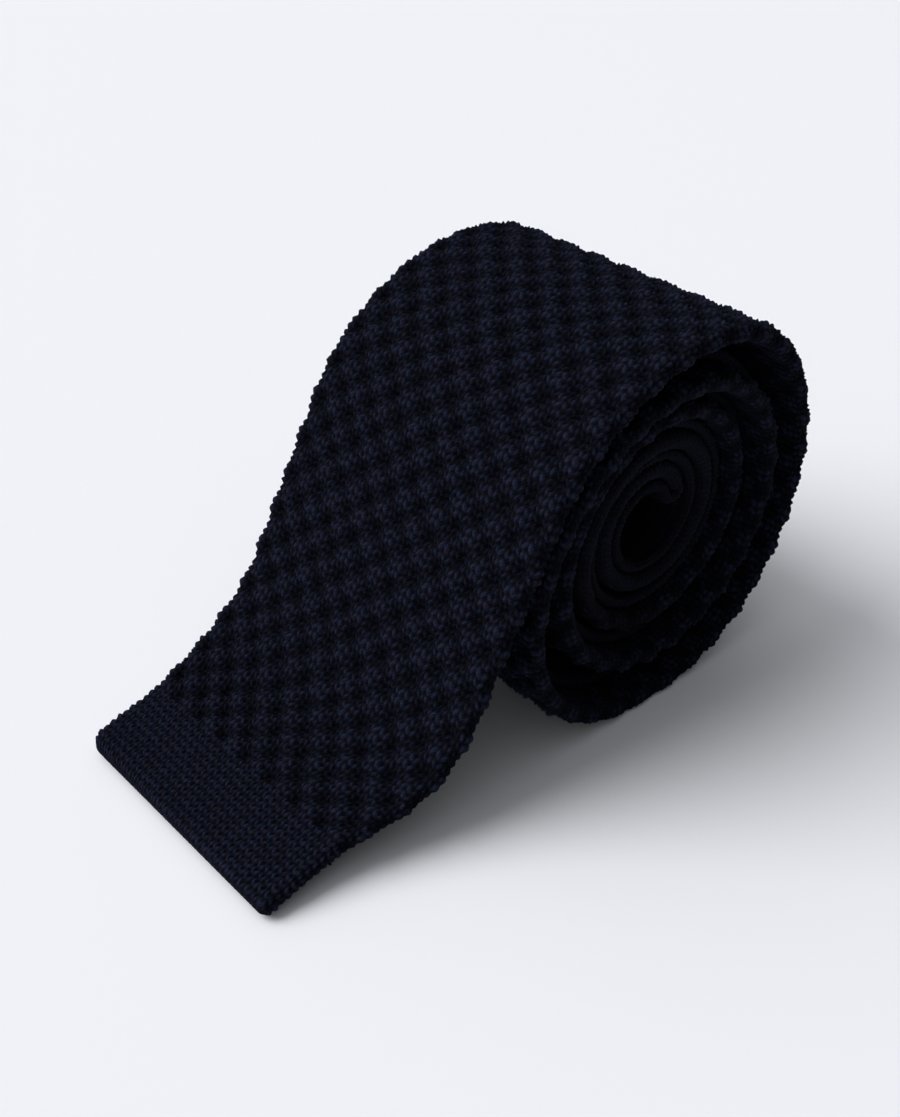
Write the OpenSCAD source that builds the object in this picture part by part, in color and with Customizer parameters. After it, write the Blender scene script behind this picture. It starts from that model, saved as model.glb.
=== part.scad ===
// Square-end knitted necktie, doubled at the neckband and rolled up.
// Every length is in millimetres. The strip runs along a chain of straight
// and round stretches in the XZ plane; Y is the width of the tie.
// The face of the knit is outside the roll, the back with its seam is inside.

/* [Blades] */
// Width of the front blade
blade_w = 60; // [56:0.5:64]
// Width of the plain band at the front blade's end
band_w = 52; // [48:0.5:54]
// Length of the plain band along the blade
band_len = 14.5; // [12:0.5:18]
// Thickness of the front blade, both layers of the tube
blade_t = 3.4; // [3.0:0.1:3.4]
// Width of the back blade at its end
narrow_w = 46; // [42:0.5:50]
// Width at the middle of the neckband
neck_w = 44; // [40:0.5:48]
// Thickness of the back blade
narrow_t = 2; // [1.6:0.1:2.0]

/* [Free end] */
// Slope of the free end above the table, in degrees
end_slope = 15; // [12:0.5:18]
// Straight length of the free end
end_len = 24; // [23:0.5:28]
// Radius of the bend where the blade turns up to the roll
bend_r = 26; // [22:0.5:30]
// Slope of the rising stretch, in degrees
rise_slope = 62; // [60:0.5:64]

/* [Roll] */
// Height of the roll
roll_h = 72; // [71.8:0.1:72.6]
// Length of the flat patch that the roll rests on
flat_len = 6; // [4:0.5:8]
// Greatest turn of each of the ten hinge lines of the outer turn, in degrees
unroll_max = 22; // [10:1:22]

/* [Back details] */
// Height of the seam ridge on the back
seam_h = 0.25; // [0.1:0.05:0.3]
// Width of the seam ridge
seam_w = 3; // [2:0.5:4]
// Length of the keeper loop across the blade
keeper_len = 40; // [34:1:44]
// Width of the keeper loop along the blade
keeper_w = 9; // [7:0.5:10]
// Gap between two stretches that bend apart
joint_gap = 0.3; // [0.2:0.05:0.4]

/* [Hidden] */

// Stretches of the outer turn after the rise: [radius, turn].
outer = [[37, -16], [43, 16 - rise_slope], [30, -60], [roll_h - 32, -60], [34, -60]];
// Quarter turns of the roll inside it, from the flat patch to the core.
inner = [[29.6, -90], [34.6, -90], [29.2, -90], [28.4, -90],
         [26.2, -90], [25.4, -90], [23.2, -90], [21.8, -90],
         [19.8, -90], [18.8, -90], [16.8, -90], [15.2, -90],
         [13.6, -90], [12.2, -90], [10.6, -70]];
// Clearance under a piece that is sewn to a round stretch.
lift = 0.04;
base_z = blade_t * cos(end_slope);

function nrm(h) = [-sin(h), cos(h)];
function step(g, h) = g[1] == 0 ? g[0] * [cos(h), sin(h)]
  : g[0] * sign(g[1]) * (nrm(h) - nrm(h + g[1]));
function glen(g) = g[1] == 0 ? g[0] : g[0] * abs(g[1]) * PI / 180;
function climb(g, h, i = 0) = i >= len(g) ? 0 : step(g[i], h)[1] + climb(g, h + g[i][1], i + 1);

// The straight rise is as long as the height of the roll needs.
low = [[end_len, 0], [bend_r, rise_slope - end_slope]];
rise = (roll_h - base_z - climb(low, end_slope)
        - climb([outer[0], outer[1]], rise_slope)) / sin(rise_slope);
seg = concat(low, [[rise, 0]], outer, [[flat_len, 0]], inner);

// Start of each stretch: [distance along the face, point, heading].
st = [for (i = 0, p = [0, base_z], h = end_slope, s = 0; i <= len(seg);
           p = i < len(seg) ? p + step(seg[i], h) : p,
           s = i < len(seg) ? s + glen(seg[i]) : s,
           h = i < len(seg) ? h + seg[i][1] : h,
           i = i + 1) [s, p, h]];
n_flat = 3 + len(outer);
s_flat = st[n_flat][0];
ox = st[n_flat][1][0] - flat_len / 2;
s_end = st[len(seg)][0];
// Distances of the quarter turns of the roll.
function sq(k) = st[n_flat + 1 + k][0];

function find(s, i = 0) = (i >= len(seg) - 1 || s < st[i + 1][0]) ? i : find(s, i + 1);
// Point of the face and heading at distance s.
function at(s) = let(i = find(s), t = s - st[i][0], g = seg[i], h = st[i][2])
  g[1] == 0 ? [st[i][1] + t * [cos(h), sin(h)], h]
  : let(h1 = h + sign(g[1]) * t / g[0] * 180 / PI)
    [st[i][1] + g[0] * sign(g[1]) * (nrm(h) - nrm(h1)), h1];
function pt(s, d) = let(a = at(s)) a[0] - d * nrm(a[1]) - [ox, 0];
// Distance at which the outer turn has a heading.
function s_head(h, i = 3) = (h >= st[i + 1][2]) ? st[i][0] + (st[i][2] - h) * PI / 180 * seg[i][0]
  : s_head(h, i + 1);

// Hinge lines: two in the bend at the free end, ten round the outer turn.
bend_len = glen(low[1]);
turn = (rise_slope + 180) / 10;
hinge = concat([end_len + bend_len / 4, end_len + bend_len * 3 / 4],
               [for (k = [0 : 9]) s_head(rise_slope - turn * (k + 0.5))]);

// A stretch of the strip between two distances and two depths below the face.
module band(s0, s1, d0, d1, w, y = 0, step_mm = 1.6) {
  n = max(2, ceil((s1 - s0) / step_mm));
  translate([0, y, 0]) rotate([90, 0, 0]) linear_extrude(w, center = true)
    polygon(concat([for (k = [0 : n]) pt(s0 + (s1 - s0) * k / n, d0)],
                   [for (k = [n : -1 : 0]) pt(s0 + (s1 - s0) * k / n, d1)]));
}
// Width of the front blade and neckband at a distance.
function width(s) = s < 300 ? blade_w : blade_w - (blade_w - neck_w) * min(1, (s - 300) / (s_end - 300));
module piece(s0, s1) { color([0.09, 0.11, 0.19]) band(s0, s1, 0, blade_t, width((s0 + s1) / 2)); }

g2 = joint_gap / 2;
// Moving stretch k of the front blade, from 1 at the free end to 12.
function seg_a(k) = k == 1 ? band_len : hinge[k - 2] + g2;
function seg_b(k) = hinge[k - 1] - g2;
module blade_seg(k) {
  w = k == 1 ? band_w + 4 : k == 2 ? blade_w - 1 : blade_w;
  color([0.09, 0.11, 0.19]) band(seg_a(k), seg_b(k), 0, blade_t, w);
}
module seam_seg(k) {
  color([0.06, 0.07, 0.13]) band(seg_a(k) + (k == 1 ? 0.5 : 0.1), seg_b(k) - 0.1, blade_t + lift, blade_t + seam_h, seam_w);
}

module front_end_band() { color([0.09, 0.11, 0.2]) band(0, band_len, 0.3, blade_t, band_w); }
// Row of linking stitches that holds the turned-in hem, on the back.
module front_hem_stitching() {
  color([0.05, 0.06, 0.11]) for (y = [-24 : 4 : 24])
    band(band_len - 1.6, band_len - 0.6, blade_t + lift / 2, blade_t + 0.2, 2.6, y);
}
module front_blade_01() { blade_seg(1); }
module front_blade_02() { blade_seg(2); }
module front_blade_03() { blade_seg(3); }
module front_blade_04() { blade_seg(4); }
module front_blade_05() { blade_seg(5); }
module front_blade_06() { blade_seg(6); }
module front_blade_07() { blade_seg(7); }
module front_blade_08() { blade_seg(8); }
module front_blade_09() { blade_seg(9); }
module front_blade_10() { blade_seg(10); }
module front_blade_11() { blade_seg(11); }
module front_blade_12() { blade_seg(12); }
module back_seam_01() { seam_seg(1); }
module back_seam_02() { seam_seg(2); }
module back_seam_03() { seam_seg(3); }
module back_seam_04() { seam_seg(4); }
module back_seam_05() { seam_seg(5); }
module back_seam_06() { seam_seg(6); }
module back_seam_07() { seam_seg(7); }
module back_seam_08() { seam_seg(8); }
module back_seam_09() { seam_seg(9); }
module back_seam_10() { seam_seg(10); }
module back_seam_11() { seam_seg(11); }
module back_seam_12() { seam_seg(12); }

// Keeper loop: a band across the back, open underneath, sewn down at both ends.
ks = (hinge[4] + hinge[5]) / 2;
kt = 0.6;
k0 = blade_t + seam_h + 0.1;
module keeper_loop() {
  color([0.08, 0.1, 0.17]) {
    band(ks - keeper_w / 2, ks + keeper_w / 2, k0, k0 + kt, keeper_len);
    for (y = [-1, 1])
      band(ks - keeper_w / 2, ks + keeper_w / 2, blade_t + lift, k0, 4, y * (keeper_len / 2 - 2));
  }
}
module keeper_stitches() {
  color([0.04, 0.05, 0.09]) for (y = [-1, 1])
    band(ks - keeper_w / 2 + 1, ks + keeper_w / 2 - 1, k0 + kt + lift, k0 + kt + 0.15, 1.4, y * (keeper_len / 2 - 2));
}
// Blank care label, sewn beside the seam.
module care_label() {
  color([0.62, 0.62, 0.6])
    band(seg_a(9) + 1.5, seg_b(9) - 1.5, blade_t + lift, blade_t + 0.3, 22, 14);
}

// Front blade inside the roll, a half turn to a piece.
module front_blade_13() { piece(hinge[11] + g2, sq(2)); }
module front_blade_14() { piece(sq(2), sq(4)); }
module front_blade_15() { piece(sq(4), sq(6)); }
module front_blade_16() { piece(sq(6), sq(8)); }
// Front half of the neckband. The stay tape lies between its two layers.
tape_w = 12;
tape_d = [1.5, 1.9];
module tape(s0, s1, gap = 0) { band(s0, s1, tape_d[0] - gap, tape_d[1] + gap, tape_w + 2 * gap); }
module neckband_front_1() {
  color([0.09, 0.11, 0.19]) difference() { piece(sq(8), sq(10)); tape(sq(8) + 9, sq(10) + 1, 0.12); }
}
module neckband_front_2() {
  color([0.09, 0.11, 0.19]) difference() { piece(sq(10), sq(12)); tape(sq(10) - 1, sq(12) + 1, 0.12); }
}
module neckband_front_3() {
  color([0.09, 0.11, 0.19]) difference() { piece(sq(12), s_end); tape(sq(12) - 1, s_end - 3, 0.12); }
}
module neck_stay_tape() { color([0.3, 0.3, 0.33]) tape(sq(8) + 10, s_end - 4); }

// The fold in the middle of the neckband, round end of the doubled strip.
back_d0 = blade_t + 0.35;
back_d1 = back_d0 + narrow_t;
module neckband_fold() {
  r = back_d1 / 2;
  c = pt(s_end, r);
  h = at(s_end)[1];
  color([0.09, 0.11, 0.19])
    translate([c[0], 0, c[1]]) rotate([90, -h, 0]) difference() {
      cylinder(r = r, h = neck_w, center = true, $fn = 64);
      translate([-r - 1, -r - 1, -neck_w]) cube([r + 1, 2 * r + 2, 2 * neck_w]);
      translate([-1, -0.7, -neck_w]) cube([1.6, 0.3, 2 * neck_w]);
    }
}
// Back half of the neckband and the back blade lie against the back of the front half.
function bw(s) = neck_w + (narrow_w - neck_w) * min(1, (s_end - s) / 250);
module back_piece(s0, s1) { color([0.09, 0.11, 0.19]) band(s0, s1, back_d0, back_d1, bw((s0 + s1) / 2)); }
module neckband_back_1() { back_piece(sq(12), s_end); }
module neckband_back_2() { back_piece(sq(9), sq(12)); }
module back_blade_1() { back_piece(sq(5), sq(9)); }
module back_blade_2() { back_piece(sq(1), sq(5)); }
module back_blade_3() { back_piece(s_flat - 0.2, sq(1)); }
// The back blade's last stretch lies on the second turn, under the outer turn.
tip_a = sq(2) + 2;
module tip_piece(s0, s1) { color([0.09, 0.11, 0.19]) band(s0, s1, -0.35 - narrow_t, -0.35, narrow_w); }
module back_blade_4() { tip_piece(tip_a + 18, sq(4) - 0.8); }
module back_end_band() { tip_piece(tip_a, tip_a + 18); }
module back_hem_stitching() {
  color([0.05, 0.06, 0.11]) for (y = [-20 : 4 : 20])
    band(tip_a + 16, tip_a + 17, -0.5 - narrow_t, -0.35 - lift - narrow_t, 2.6, y);
}
module front_seam_inner() {
  color([0.06, 0.07, 0.13]) band(hinge[11] + g2, s_end - 1, blade_t + lift, blade_t + seam_h * 0.6, seam_w, -3);
}
module back_blade_seam() {
  color([0.06, 0.07, 0.13]) band(sq(1), s_end - 1, back_d0 - lift - seam_h * 0.6, back_d0 - lift, seam_w, 3);
}

front_end_band();
front_hem_stitching();
front_blade_01();
front_blade_02();
front_blade_03();
front_blade_04();
front_blade_05();
front_blade_06();
front_blade_07();
front_blade_08();
front_blade_09();
front_blade_10();
front_blade_11();
front_blade_12();
back_seam_01();
back_seam_02();
back_seam_03();
back_seam_04();
back_seam_05();
back_seam_06();
back_seam_07();
back_seam_08();
back_seam_09();
back_seam_10();
back_seam_11();
back_seam_12();
keeper_loop();
keeper_stitches();
care_label();
front_blade_13();
front_blade_14();
front_blade_15();
front_blade_16();
neckband_front_1();
neckband_front_2();
neckband_front_3();
neckband_fold();
neckband_back_1();
neckband_back_2();
back_blade_1();
back_blade_2();
back_blade_3();
back_blade_4();
back_end_band();
back_hem_stitching();
front_seam_inner();
back_blade_seam();
neck_stay_tape();
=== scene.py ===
# Rolled knitted necktie: every soft piece is a knitted tube made along the strip's path.
import bpy
import math
import numpy as np
from mathutils import Matrix, Vector


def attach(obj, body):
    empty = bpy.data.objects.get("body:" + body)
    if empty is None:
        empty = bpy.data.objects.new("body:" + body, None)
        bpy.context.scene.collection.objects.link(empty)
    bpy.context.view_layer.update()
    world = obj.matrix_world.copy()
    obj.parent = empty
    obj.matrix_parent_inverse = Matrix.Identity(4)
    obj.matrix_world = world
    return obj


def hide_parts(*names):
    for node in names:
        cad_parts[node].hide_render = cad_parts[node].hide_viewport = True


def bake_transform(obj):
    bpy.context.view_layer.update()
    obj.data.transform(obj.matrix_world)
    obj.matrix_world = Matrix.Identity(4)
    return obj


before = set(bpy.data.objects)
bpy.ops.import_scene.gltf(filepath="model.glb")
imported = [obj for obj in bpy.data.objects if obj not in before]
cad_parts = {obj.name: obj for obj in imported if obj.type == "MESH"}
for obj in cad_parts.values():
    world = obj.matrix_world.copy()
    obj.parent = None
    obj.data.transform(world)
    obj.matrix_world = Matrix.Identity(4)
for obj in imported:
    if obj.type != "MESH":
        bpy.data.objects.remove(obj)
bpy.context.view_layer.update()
MM = 0.001

# ------------------------------------------------------------------ camera
cam_data = bpy.data.cameras.new("cam")
cam = bpy.data.objects.new("cam", cam_data)
bpy.context.scene.collection.objects.link(cam)
bpy.context.scene.camera = cam
cam_data.sensor_fit = "HORIZONTAL"
cam_data.sensor_width = 36
cam_data.lens = 54.75
cam_data.clip_start, cam_data.clip_end = 0.01, 20
rot = Matrix(((0.74216733, 0.37047639, -0.55851132),
              (-0.66997915, 0.43219439, -0.60360248),
              (0.01776499, 0.82216498, 0.56897201)))
cam.matrix_world = Matrix.Translation((-0.15895, -0.14612, 0.16451)) @ rot.to_4x4()

# ------------------------------------------------------------------ the strip's path, in mm
BT = 3.4
END_SLOPE, END_LEN, BEND_R, RISE_SLOPE, ROLL_H, FLAT = 15.0, 24.0, 26.0, 62.0, 72.0, 6.0
OUTER = [(37, -16), (43, 16 - RISE_SLOPE), (30, -60), (ROLL_H - 32, -60), (34, -60)]
INNER = [29.6, 34.6, 29.2, 28.4, 26.2, 25.4, 23.2, 21.8, 19.8, 18.8, 16.8, 15.2, 13.6, 12.2, 10.6]


def nrm(h):
    h = np.radians(h)
    return np.array([-np.sin(h), np.cos(h)])


def step(g, h):
    if g[1] == 0:
        return g[0] * np.array([np.cos(np.radians(h)), np.sin(np.radians(h))])
    return g[0] * np.sign(g[1]) * (nrm(h) - nrm(h + g[1]))


def glen(g):
    return g[0] if g[1] == 0 else g[0] * abs(g[1]) * math.pi / 180


def climb(gs, h):
    z = 0.0
    for g in gs:
        z += step(g, h)[1]
        h += g[1]
    return z


base_z = BT * math.cos(math.radians(END_SLOPE))
low = [(END_LEN, 0), (BEND_R, RISE_SLOPE - END_SLOPE)]
rise = (ROLL_H - base_z - climb(low, END_SLOPE) - climb(OUTER[:2], RISE_SLOPE)) / math.sin(math.radians(RISE_SLOPE))
SEG = low + [(rise, 0)] + OUTER + [(FLAT, 0)] + [(r, -90 if k < 14 else -70) for k, r in enumerate(INNER)]
p, h, s = np.array([0.0, base_z]), END_SLOPE, 0.0
S0, P0, H0 = [], [], []
for g in SEG:
    S0.append(s), P0.append(p), H0.append(h)
    p, s, h = p + step(g, h), s + glen(g), h + g[1]
S_END = s
P_FIN, H_FIN = p, h
OX = P0[8][0] - FLAT / 2
S0, P0, H0 = np.array(S0), np.array(P0), np.array(H0, float)
RAD = np.array([g[0] for g in SEG], float)
SGN = np.array([np.sign(g[1]) for g in SEG], float)
S_FLAT = S0[8]


def sq(k):
    return S0[9 + k] if k < 15 else S_END


def at(s):
    """Face point (x, z) and heading in radians at distances s."""
    s = np.asarray(s, float)
    i = np.clip(np.searchsorted(S0, s, side="right") - 1, 0, len(SEG) - 1)
    t = s - S0[i]
    h0 = np.radians(H0[i])
    straight = SGN[i] == 0
    h = np.where(straight, h0, h0 + SGN[i] * t / RAD[i])
    x = np.where(straight, t * np.cos(h0), RAD[i] * SGN[i] * (-np.sin(h0) + np.sin(h)))
    z = np.where(straight, t * np.sin(h0), RAD[i] * SGN[i] * (np.cos(h0) - np.cos(h)))
    return P0[i, 0] + x - OX, P0[i, 1] + z, h


def place(s, y, d):
    """Strip coordinates (distance, width, depth under the face) to metres."""
    x, z, h = at(s)
    X = x + d * np.sin(h)
    Z = z - d * np.cos(h)
    return np.stack([X, y, np.maximum(Z, 0.03)], -1) * MM


def s_head(hd, i=3):
    while not hd >= H0[i + 1]:
        i += 1
    return S0[i] + (H0[i] - hd) * math.pi / 180 * SEG[i][0]


bend_len = glen(SEG[1])
TURN = (RISE_SLOPE + 180) / 10
HINGE = [END_LEN + bend_len / 4, END_LEN + bend_len * 3 / 4] + [s_head(RISE_SLOPE - TURN * (k + 0.5)) for k in range(10)]


# ------------------------------------------------------------------ the knit
def smooth(t):
    t = np.clip(t, 0, 1)
    return t * t * (3 - 2 * t)


def hash2(i, j, k=0.0):
    v = np.sin(i * 12.9898 + j * 78.233 + k * 37.719) * 43758.5453
    return v - np.floor(v)


def wave(u, v, seed, scale):
    """A slow smooth wander from -1 to 1, the same on every piece."""
    r = np.random.default_rng(seed)
    out = 0
    for _ in range(5):
        th, ph, f = r.uniform(0, 2 * np.pi), r.uniform(0, 2 * np.pi), r.uniform(0.6, 1.6)
        out = out + np.sin((u * np.cos(th) + v * np.sin(th)) * f * 2 * np.pi / scale + ph)
    return out / 3.0


def legs(aw, bc):
    """Two slanted legs to a stitch: aw counts wales and bc counts courses."""
    i = np.floor(aw)
    x = aw - i - 0.5
    ax = np.abs(x) * 2
    across = np.sin(np.pi * np.clip(ax * 0.94 + 0.03, 0, 1)) ** 0.75
    ph = bc - 0.5 * ax + 0.06 * (hash2(i, 3.0) - 0.5)
    j = np.floor(ph)
    leg = 0.5 + 0.5 * np.cos(2 * np.pi * (ph - j - 0.5))
    jit = 0.7 + 0.5 * hash2(i, j, np.sign(x))
    return across * (0.25 + 0.75 * leg ** 0.7) * jit


BAND = 14.5


def repeats(s):
    return np.where(s >= 30, (s + 3.418) / 7.28, (30 + 3.418) / 7.28 - (30 - s) / 6.6)


R_BAND = float(repeats(np.array(BAND)))


def front_knit(a, y60, s, face):
    """Height of the blade's surface: bubbles over stitches, plain at the end band; also its painted shading, with
    painted shade between the stitches and in the bubble pits and painted highlight on the stitch and bubble tops.
    """
    w1, w2 = wave(y60, s, 11, 19.0), wave(y60, s, 12, 23.0)
    aw = (y60 + 0.206) / 1.93 + 0.10 * w1 + 0.06 * wave(y60, s, 14, 6.0)
    rep = repeats(s) + 0.035 * w2
    bc = np.where(s < BAND, s / 1.40, BAND / 1.40 + 5 * (rep - R_BAND)) + 0.08 * wave(y60, s, 15, 5.0)
    X = 2 * np.pi * ((y60 + 0.206) / 7.72 + 0.03 * w1)
    Y = 2 * np.pi * rep
    f = np.cos(X) * np.cos(Y)
    wb = smooth((s - BAND + 0.3) / 2.2)
    ci, cj = np.round(X / np.pi), np.round(Y / np.pi)
    amp = 0.88 + 0.28 * hash2(ci, cj, 5.0)
    pit = np.clip(-f, 0, 1) ** 2.2 * np.abs(np.cos(X)) ** 2.5
    bub = (0.50 * f - 0.55 * pit) * amp
    # the stitches fan out over each bubble and sink in the hollows
    fan = 0.20 * wb * np.sin(X) * np.cos(Y)
    fan2 = 0.16 * wb * np.cos(X) * np.sin(Y)
    st = legs(aw - fan, bc - fan2)
    out = 0.74 * (st - 0.62) + wb * bub * (0.65 + 0.35 * face) + (1 - wb) * 0.06 * w2
    # the back is flatter, so the label, keeper and seam lie on it
    out = out * (0.55 + 0.45 * face) - 0.25 * (1 - face)
    # painted shading: painted shade between the stitches and in the bubble pits, painted highlight on the stitch and
    # bubble tops
    painted_shading = (0.03 + 1.60 * np.clip(st, 0, 1.2) ** 2.0) * (1 - wb * (1 - (0.34 + 1.02 * smooth((f + 0.42) / 1.3))))
    return out, painted_shading


def plain_knit(a, y60, s, face):
    aw = y60 / 1.62 + 0.08 * wave(y60, s, 21, 15.0)
    bc = s / 1.38 + 0.08 * wave(y60, s, 22, 17.0)
    st = legs(aw, bc)
    # the second value is painted shading: painted shade between the stitches, painted highlight on the stitch tops
    return 0.42 * (st - 0.55), 0.15 + 0.85 * st


def seam_knit(a, y60, s, face):
    st = legs(y60 / 1.5 + 0.5, s / 1.4)
    # the second value is painted shading: painted shade between the stitches, painted highlight on the stitch tops
    return 0.14 * (st - 0.5), 0.2 + 0.8 * st


def make_mesh(name, verts, quads, uv, painted_shading_values=None):
    me = bpy.data.meshes.new(name)
    me.vertices.add(len(verts))
    me.vertices.foreach_set("co", np.ascontiguousarray(verts, np.float32).ravel())
    me.loops.add(quads.size)
    me.polygons.add(len(quads))
    me.loops.foreach_set("vertex_index", quads.astype(np.int32).ravel())
    me.polygons.foreach_set("loop_start", np.arange(0, quads.size, 4, dtype=np.int32))
    me.polygons.foreach_set("use_smooth", np.ones(len(quads), bool))
    me.update(calc_edges=True)
    layer = me.uv_layers.new(name="UVMap")
    layer.data.foreach_set("uv", uv[quads.ravel()].astype(np.float32).ravel())
    # per-point painted shading: the materials darken the colour with it between the stitches (painted shade) and
    # lighten it on the stitch tops (painted highlight)
    if painted_shading_values is not None:
        painted_shading_attr = me.attributes.new("painted_shading", "FLOAT", "POINT")
        painted_shading_attr.data.foreach_set("value", np.ascontiguousarray(painted_shading_values, np.float32).ravel())
    me.validate()
    o = bpy.data.objects.new(name, me)
    bpy.context.scene.collection.objects.link(o)
    return o


def grid_quads(n, m, closed):
    i = np.arange(n - 1)[:, None] * m
    cols = np.arange(m if closed else m - 1)
    nxt = (cols + 1) % m
    a, b = i + cols[None], i + nxt[None]
    return np.stack([a, b, b + m, a + m], -1).reshape(-1, 4)


def tube(name, sa, sb, ds, width, T, d0, counts, knit, y0=0.0, tip=None, tip_end=False, norm=True, mapper=place, back=1.0):
    """A flattened knitted tube between two distances. counts is (face, edge, half back) columns."""
    n = max(3, int(math.ceil((sb - sa) / ds)))
    s = np.linspace(sa, sb, n + 1)
    if tip or tip_end:  # finer rows round the closed end
        e = np.array([0.0, 0.06, 0.16, 0.32, 0.52, 0.76, 1.04, 1.34])
        if tip:
            s = np.concatenate([sa + e, s[s > sa + 1.5]])
        if tip_end:
            s = np.concatenate([s[s < sb - 1.5], (sb - e)[::-1]])
    s = s[:, None]
    hw = np.broadcast_to(np.asarray(width(s), float) / 2, s.shape).copy()
    Ts = np.full_like(s, T)
    if tip:
        q = np.clip((s - sa) / (T / 2), 0, 1)
        Ts = T * np.sqrt(np.clip(1 - (1 - q) ** 2, 0.0004, 1))
    if tip_end:
        q = np.clip((sb - s) / (T / 2), 0, 1)
        Ts = T * np.sqrt(np.clip(1 - (1 - q) ** 2, 0.0004, 1))
    r = Ts / 2
    dd = d0 + (T - Ts) / 2
    flat = np.maximum(hw - T / 2, 0.01)
    nf, ne, nb = counts
    tb = np.linspace(0, 1, nb + 1)[None, :-1]
    te = np.linspace(0, 1, ne + 1)[None, :-1]
    tf = np.linspace(0, 1, nf + 1)[None, :-1]
    tb2 = np.linspace(0, 1, nb + 1)[None]
    phi_l, phi_r = np.pi * (1 - te), np.pi * te
    one = np.ones_like(s)
    Rw = T / 2
    y = np.concatenate([-tb * flat, -(flat + Rw * np.sin(phi_l)), flat * (2 * tf - 1), flat + Rw * np.sin(phi_r), flat * (1 - tb2)], 1)
    d = np.concatenate([(dd + Ts) * np.ones_like(tb), dd + r - r * np.cos(phi_l), dd * np.ones_like(tf), dd + r - r * np.cos(phi_r), (dd + Ts) * np.ones_like(tb2)], 1)
    ny = np.concatenate([0 * tb * one, -np.sin(phi_l) * one, 0 * tf * one, np.sin(phi_r) * one, 0 * tb2 * one], 1)
    nd = np.concatenate([one * np.ones_like(tb), -np.cos(phi_l) * one, -one * np.ones_like(tf), -np.cos(phi_r) * one, one * np.ones_like(tb2)], 1)
    half = flat * 2 + math.pi * T / 2
    a = np.concatenate([-half + tb * flat, -half + flat + T / 2 * np.pi * te, -flat + 2 * flat * tf, flat + T / 2 * np.pi * te, half - flat + flat * tb2], 1)
    face = np.concatenate([0 * tb, te, 1 + 0 * tf, 1 - te, 0 * tb2], 1) * one
    S = s * np.ones_like(a)
    k = np.where(s < 60, 60.0 / (hw * 2), 1.0) if norm else 1.0
    # the knit gives the height and the painted shading (painted shade and highlight) for each point
    hgt, painted_shading = knit(a, a * k, S, face)
    painted_shading = painted_shading + 0 * a
    hgt *= smooth((half - np.abs(a)) / 1.4) * (back + (1 - back) * face)
    if tip:
        hgt *= 0.35 + 0.65 * smooth((S - sa) / 1.6)
        # soft round corners at the end
        cr, cl = tip
        shrink = np.where(y > 0, cr, cl) * (1 - np.sqrt(np.clip(1 - (1 - np.clip((S - sa) / np.where(y > 0, cr, cl), 0, 1)) ** 2, 0, 1)))
        y = y * (1 - shrink / hw)
    y, d = y + ny * hgt, d + nd * hgt
    V = mapper(S, y + y0, d)
    m = a.shape[1]
    uv = np.stack([a, S], -1) * 0.01
    return make_mesh(name, V.reshape(-1, 3), grid_quads(len(s), m, False), uv.reshape(-1, 2), painted_shading)


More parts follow.
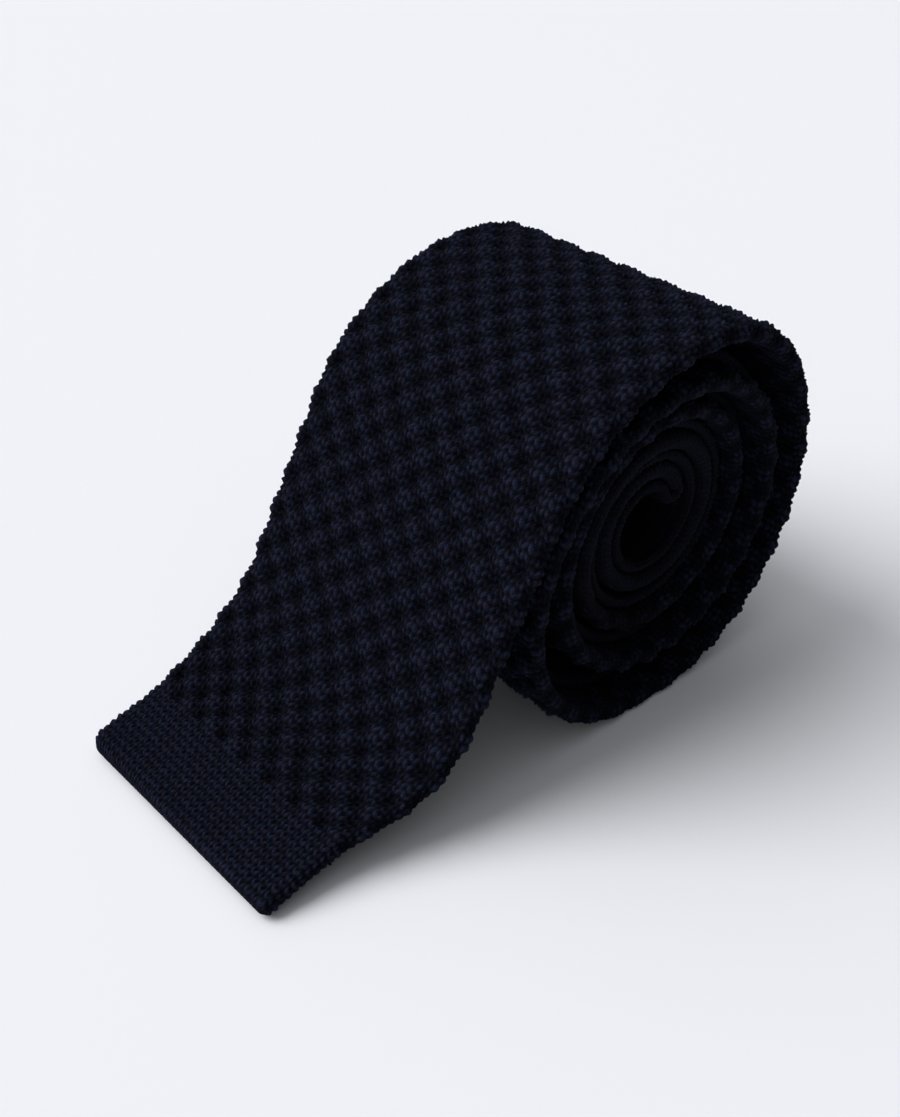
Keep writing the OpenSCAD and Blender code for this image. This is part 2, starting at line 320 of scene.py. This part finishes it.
# ------------------------------------------------------------------ materials
def material(name, dark, light, warm, rough=0.9, sheen=0.02, sheen_tint=(0.35, 0.42, 0.62, 1), fibre=1.0, weave=False, shade=(0.08, 1.5)):
    mat = bpy.data.materials.new(name)
    mat.use_nodes = True
    nt = mat.node_tree
    bs = nt.nodes["Principled BSDF"]
    bs.inputs["Roughness"].default_value = rough
    bs.inputs["Specular IOR Level"].default_value = 0.04
    bs.inputs["Sheen Weight"].default_value = sheen
    bs.inputs["Sheen Roughness"].default_value = 0.45
    bs.inputs["Sheen Tint"].default_value = sheen_tint

    def node(kind, **kw):
        nd = nt.nodes.new(kind)
        for key, val in kw.items():
            setattr(nd, key, val)
        return nd

    uvn = node("ShaderNodeUVMap", uv_map="UVMap")

    def noise(scale, stretch, detail=3.0, rough_n=0.6):
        mp = node("ShaderNodeMapping")
        mp.inputs["Scale"].default_value = stretch
        nt.links.new(uvn.outputs["UV"], mp.inputs["Vector"])
        nn = node("ShaderNodeTexNoise")
        nn.inputs["Scale"].default_value = scale
        nn.inputs["Detail"].default_value = detail
        nn.inputs["Roughness"].default_value = rough_n
        nt.links.new(mp.outputs["Vector"], nn.inputs["Vector"])
        return nn

    def ramp(src, stops):
        rp = node("ShaderNodeValToRGB")
        els = rp.color_ramp.elements
        els[0].position, els[0].color = stops[0][0], (*stops[0][1], 1)
        els[1].position, els[1].color = stops[-1][0], (*stops[-1][1], 1)
        for pos, col in stops[1:-1]:
            e = els.new(pos)
            e.color = (*col, 1)
        nt.links.new(src, rp.inputs["Fac"])
        return rp

    # fibres dyed in several shades lie along the yarn
    mel = noise(300, (1.0, 0.55, 1), 2.0, 0.7)
    mid = tuple((x + y) / 2 for x, y in zip(dark, light))
    base = ramp(mel.outputs["Fac"], [(0.36, dark), (0.52, mid), (0.66, light)])
    hue = noise(130, (1.0, 0.8, 1), 2.0, 0.5)
    tint = ramp(hue.outputs["Fac"], [(0.43, light), (0.57, warm)])
    mix = node("ShaderNodeMix", data_type="RGBA")
    mix.inputs[0].default_value = 0.45
    nt.links.new(base.outputs["Color"], mix.inputs[6])
    nt.links.new(tint.outputs["Color"], mix.inputs[7])
    # painted shading from the mesh: painted shade deep between the stitches and in the bubble pits, painted highlight
    # on the stitch tops
    att = node("ShaderNodeAttribute", attribute_name="painted_shading")
    depth = node("ShaderNodeMapRange")
    depth.inputs["From Min"].default_value = 0.0
    depth.inputs["From Max"].default_value = 1.0
    depth.inputs["To Min"].default_value = shade[0]
    depth.inputs["To Max"].default_value = shade[1]
    nt.links.new(att.outputs["Fac"], depth.inputs["Value"])
    painted_shading_scale = node("ShaderNodeVectorMath", operation="SCALE")
    nt.links.new(mix.outputs[2], painted_shading_scale.inputs[0])
    nt.links.new(depth.outputs["Result"], painted_shading_scale.inputs["Scale"])
    nt.links.new(painted_shading_scale.outputs["Vector"], bs.inputs["Base Color"])
    # fine hairs and yarn twist
    fine = noise(620 if not weave else 900, (1.0, 0.35, 1), 4.0, 0.75)
    twist = node("ShaderNodeTexWave", wave_type="BANDS", bands_direction="DIAGONAL")
    twist.inputs["Scale"].default_value = 95 if not weave else 160
    twist.inputs["Distortion"].default_value = 2.5
    nt.links.new(uvn.outputs["UV"], twist.inputs["Vector"])
    b1 = node("ShaderNodeBump")
    b1.inputs["Strength"].default_value = 0.55 * fibre
    b1.inputs["Distance"].default_value = 0.00025
    nt.links.new(fine.outputs["Fac"], b1.inputs["Height"])
    b2 = node("ShaderNodeBump")
    b2.inputs["Strength"].default_value = 0.35 * fibre
    b2.inputs["Distance"].default_value = 0.00018
    nt.links.new(twist.outputs["Fac"], b2.inputs["Height"])
    nt.links.new(b1.outputs["Normal"], b2.inputs["Normal"])
    nt.links.new(b2.outputs["Normal"], bs.inputs["Normal"])
    return mat


DK, LT, WM = (0.0012, 0.0015, 0.0040), (0.0078, 0.0118, 0.0265), (0.0125, 0.0086, 0.0160)
M_BUB = material("navy_bubble_knit", DK, LT, WM)
M_PLAIN = material("navy_plain_knit", DK, LT, WM)
# darker copies of the navy yarn for the turns and seams inside the roll: painted shade
M_INNER_PAINTED_SHADE = material("navy_knit_inner_painted_shade", (0.0012, 0.0014, 0.0032), (0.0060, 0.0070, 0.0140), (0.0070, 0.0060, 0.0100))
M_SEAM_PAINTED_SHADE = material("navy_seam_painted_shade", (0.0012, 0.0014, 0.0032), (0.0060, 0.0070, 0.0140), (0.0070, 0.0060, 0.0100))
M_THREAD = material("navy_thread", (0.003, 0.004, 0.010), (0.012, 0.017, 0.036), (0.012, 0.013, 0.024), rough=0.6, sheen=0.1, shade=(1.0, 1.0))
M_TAPE = material("stay_tape", (0.04, 0.04, 0.05), (0.10, 0.10, 0.12), (0.08, 0.08, 0.09), sheen=0.1, weave=True, shade=(1.0, 1.0))
M_LABEL = material("care_label", (0.48, 0.48, 0.46), (0.66, 0.66, 0.63), (0.60, 0.60, 0.58), rough=0.7, sheen=0.1, sheen_tint=(1, 1, 1, 1), fibre=0.5, weave=True, shade=(1.0, 1.0))


def finish_piece(o, mat, nodes=(), body=None):
    o.data.materials.append(mat)
    if body:
        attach(o, body)
    if nodes:
        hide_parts(*nodes)
    return o


# ------------------------------------------------------------------ the front blade
def w_front(s):
    w = 52 + 8 * smooth((s - 11) / 25)
    return np.where(s < 300, w, 60 - 16 * np.clip((s - 300) / (S_END - 300), 0, 1))


FINE = 0.25
CF = ((228, 16, 62))


o = tube("front_end_band_knit", 0, BAND, FINE, w_front, BT, 0, CF, front_knit, tip=(3.6, 1.6))
finish_piece(o, M_PLAIN, ["front_end_band"], "turn_01")

mids = [BAND] + [(HINGE[k - 1] + HINGE[k]) / 2 for k in range(1, 12)] + [S_FLAT]
C_SEAM = (10, 3, 3)
for i in range(12):
    sa, sb = mids[i], mids[i + 1]
    o = tube("front_blade_knit_%02d" % (i + 1), sa, sb, FINE, w_front, BT, 0, CF, front_knit)
    finish_piece(o, M_BUB, ["front_blade_%02d" % (i + 1)], None)
    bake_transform(o)
    sm = tube("back_seam_ridge_%02d" % (i + 1), sa, sb, 0.3, lambda s: 3.0 + 0 * s, 0.7, BT - 0.42, C_SEAM, seam_knit, norm=False)
    finish_piece(sm, M_SEAM_PAINTED_SHADE, ["back_seam_%02d" % (i + 1)])
    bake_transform(sm)

# inside the roll
CI = ((112, 14, 44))
DI = 0.42
cuts = [S_FLAT, sq(2), sq(4), sq(6), sq(8), sq(10), sq(12), S_END]
names = ["front_blade_13", "front_blade_14", "front_blade_15", "front_blade_16", "neckband_front_1", "neckband_front_2", "neckband_front_3"]


def inner_knit(a, y60, s, face):
    k = smooth((s - sq(8)) / 40)
    (h1, t1), (h2, t2) = front_knit(a, y60, s, face), plain_knit(a, y60, s, face)
    # blend the heights and the painted shading (painted shade and highlight)
    return h1 * (1 - k) + h2 * k, t1 * (1 - k) + t2 * k


for k, nm in enumerate(names):
    counts = (176, 12, 50) if k == 0 else CI
    o = tube(nm + "_knit", cuts[k], cuts[k + 1], 0.34 if k == 0 else DI, w_front, BT, 0, counts, inner_knit, back=0.6)
    finish_piece(o, M_BUB if k < 4 else M_INNER_PAINTED_SHADE, [nm], "roll")

# ------------------------------------------------------------------ the fold at the neckband's middle
BD0 = BT + 0.35
NT = 2.0
FR = (BD0 + NT) / 2


def fold_place(S, Y, D):
    th = S / FR
    x, z, h = at(np.array(S_END - 1e-6))
    cx, cz = x + FR * np.sin(h), z - FR * np.cos(h)
    rr = FR - D
    nx, nz = -np.sin(h - th), np.cos(h - th)
    return np.stack([cx + rr * nx, Y, cz + rr * nz], -1) * MM


o = tube("neckband_fold_knit", 0, math.pi * FR, 0.35, lambda s: 44 + 0 * s, 2.6, 0, (100, 8, 40), plain_knit, norm=False, mapper=fold_place)
finish_piece(o, M_INNER_PAINTED_SHADE, ["neckband_fold"], "roll")


# ------------------------------------------------------------------ the back blade
def w_back(s):
    return 44 + 2 * np.clip((S_END - s) / 250, 0, 1)


CB = ((86, 10, 36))
for nm, sa, sb in (("neckband_back_1", sq(12), S_END), ("neckband_back_2", sq(9), sq(12)), ("back_blade_1", sq(5), sq(9)),
                   ("back_blade_2", sq(1), sq(5)), ("back_blade_3", S_FLAT - 0.2, sq(1))):
    o = tube(nm + "_knit", sa, sb, DI, w_back, NT, BD0, CB, plain_knit, norm=False)
    finish_piece(o, M_INNER_PAINTED_SHADE, [nm], "roll")
TIP = sq(2) + 2
for nm, sa, sb, tp in (("back_blade_4", TIP + 18, sq(4) - 0.8, None), ("back_end_band", TIP, TIP + 18, (1.5, 1.5))):
    o = tube(nm + "_knit", sa, sb, DI, lambda s: 46 + 0 * s, NT, -0.35 - NT, CB, plain_knit, norm=False, tip=tp)
    finish_piece(o, M_PLAIN if tp else M_INNER_PAINTED_SHADE, [nm], "roll")

o = tube("front_seam_inner_ridge", HINGE[11] + 8, S_END - 1, 0.35, lambda s: 3.0 + 0 * s, 0.55, BT - 0.4, C_SEAM, seam_knit, y0=-3, norm=False)
finish_piece(o, M_SEAM_PAINTED_SHADE, ["front_seam_inner"], "roll")
o = tube("back_blade_seam_ridge", sq(1), S_END - 1, 0.35, lambda s: 3.0 + 0 * s, 0.5, BD0 - 0.15, C_SEAM, seam_knit, y0=3, norm=False)
finish_piece(o, M_SEAM_PAINTED_SHADE, ["back_blade_seam"], "roll")
o = tube("neck_stay_tape_woven", sq(8) + 10, S_END - 4, 0.8, lambda s: 12.0 + 0 * s, 0.4, 1.5, (24, 3, 12),
         lambda a, y, s, f: (0.03 * np.sin(y * 9) * np.sin(s * 7), 1.0), norm=False)
finish_piece(o, M_TAPE, ["neck_stay_tape"], "roll")


# ------------------------------------------------------------------ stitches, keeper and label
def stitch_set(name, items, depth, out, mapper=place):
    """Short yarn stitches: items are (s, y, half length along y, half length along s)."""
    V, Q, U = [], [], []
    base = 0
    for s, y, ly, ls in items:
        n, m = 13, 10
        t = np.linspace(-1, 1, n)[:, None]
        c = np.linspace(0, 2 * np.pi, m, endpoint=False)[None]
        rad = 0.32 * np.sqrt(np.clip(1 - np.abs(t) ** 3, 0.0005, 1)) * (1 + 0.10 * np.cos(3 * c + 5 * t))
        arch = 0.14 * (1 - t * t)
        S = s + t * ls + rad * np.cos(c) * (0 if ls > ly else 1) + 0 * c
        Y = y + t * ly + rad * np.cos(c) * (1 if ls > ly else 0) + 0 * c
        D = depth + out * (arch + rad * np.sin(c) * 0.6)
        V.append(mapper(S, Y, D).reshape(-1, 3))
        Q.append(grid_quads(n, m, True) + base)
        U.append(np.stack([Y + 0 * S, S + rad * np.sin(c)], -1).reshape(-1, 2) * 0.01)
        base += n * m
    return make_mesh(name, np.concatenate(V), np.concatenate(Q), np.concatenate(U))


o = stitch_set("front_hem_stitches", [(BAND - 1.1 + 0.25 * math.sin(y * 1.7), y, 1.55, 0.1) for y in range(-24, 25, 4)], BT + 0.1, 1)
finish_piece(o, M_THREAD, ["front_hem_stitching"], "turn_01")
o = stitch_set("back_hem_stitches", [(TIP + 16.5 + 0.2 * math.sin(y * 1.7), y, 1.5, 0.1) for y in range(-20, 21, 4)], -0.38 - NT, -1)
finish_piece(o, M_THREAD, ["back_hem_stitching"], "roll")

KS = (HINGE[4] + HINGE[5]) / 2


def keeper_place(S, Y, D):
    """The keeper runs across the blade: its own length is along Y, its width along the strip."""
    lift = smooth((20.0 - np.abs(S)) / 3.4)
    return place(KS + Y, S, D + lift * 0.32)


# the keeper's knit gives its height and painted shading: painted shade between the stitches, painted highlight on the
# stitch tops
o = tube("keeper_loop_knit", -20, 20, 0.35, lambda s: 9.0 + 0 * s, 0.75, BT + 0.05, (24, 4, 10),
         lambda a, y, s, f: (0.14 * (legs(y / 1.5, s / 1.3) - 0.5), 0.2 + 0.8 * legs(y / 1.5, s / 1.3)), norm=False, tip=None, mapper=keeper_place)
finish_piece(o, M_PLAIN, ["keeper_loop"], "turn_06")
o = stitch_set("keeper_stitch_rows", [(KS - 3 + 1.5 * j, sd * 18.2, 0.1, 0.62) for sd in (-1, 1) for j in range(5)], BT + 1.0, 1)
finish_piece(o, M_THREAD, ["keeper_stitches"], "turn_06")


def label_knit(a, y, s, f):
    return 0.02 * np.sin(y * 12) * np.sin(s * 12), 1.0


o = tube("care_label_woven", HINGE[7] + 1.65, HINGE[8] - 1.65, 0.3, lambda s: 22.0 + 0 * s, 0.26, BT + 0.18, (80, 2, 40), label_knit, y0=14, norm=False)
finish_piece(o, M_LABEL, ["care_label"], "turn_09")

# ------------------------------------------------------------------ floor and light
me = bpy.data.meshes.new("floor")
me.from_pydata([(-3, -3, 0), (3, -3, 0), (3, 3, 0), (-3, 3, 0)], [], [(0, 1, 2, 3)])
floor = bpy.data.objects.new("floor", me)
bpy.context.scene.collection.objects.link(floor)
fm = bpy.data.materials.new("floor_paper")
fm.use_nodes = True
fb = fm.node_tree.nodes["Principled BSDF"]
fb.inputs["Roughness"].default_value = 0.9
fb.inputs["Specular IOR Level"].default_value = 0.1
fb.inputs["Base Color"].default_value = (0.815, 0.818, 0.842, 1)
me.materials.append(fm)


def area(name, loc, target, size, power, color=(1, 1, 1)):
    ld = bpy.data.lights.new(name, "AREA")
    ld.shape, ld.size, ld.energy, ld.color = "DISK", size, power, color
    lo = bpy.data.objects.new(name, ld)
    bpy.context.scene.collection.objects.link(lo)
    lo.location = loc
    lo.rotation_mode = "QUATERNION"
    lo.rotation_quaternion = (Vector(target) - Vector(loc)).to_track_quat("-Z", "Y")


sun = bpy.data.lights.new("key", "SUN")
sun.energy, sun.angle, sun.color = 2.5, 0.75, (0.97, 0.985, 1.0)
sun_o = bpy.data.objects.new("key", sun)
bpy.context.scene.collection.objects.link(sun_o)
sun_o.rotation_mode = "QUATERNION"
sun_o.rotation_quaternion = Vector((0.75, -0.62, -0.95)).to_track_quat("-Z", "Y")
area("top", (-0.5, 1.2, 2.2), (0, 0, 0), 2.0, 6.0, (0.98, 0.99, 1.0))

# soft light all round, dimmer on the side of the roll's open end
world = bpy.data.worlds.new("studio")
bpy.context.scene.world = world
world.use_nodes = True
wn = world.node_tree
tc = wn.nodes.new("ShaderNodeTexCoord")
dot = wn.nodes.new("ShaderNodeVectorMath")
dot.operation = "DOT_PRODUCT"
dot.inputs[1].default_value = (-0.50, 0.66, 0.56)
rng = wn.nodes.new("ShaderNodeMapRange")
rng.inputs["From Min"].default_value = -0.35
rng.inputs["From Max"].default_value = 1.0
rng.inputs["To Min"].default_value = 0.04
rng.inputs["To Max"].default_value = 0.86
wn.links.new(tc.outputs["Generated"], dot.inputs[0])
wn.links.new(dot.outputs["Value"], rng.inputs["Value"])
bg = wn.nodes["Background"]
bg.inputs["Color"].default_value = (0.95, 0.965, 1.0, 1)
wn.links.new(rng.outputs["Result"], bg.inputs["Strength"])
bpy.context.scene.view_settings.view_transform = "Standard"

bpy.context.view_layer.update()
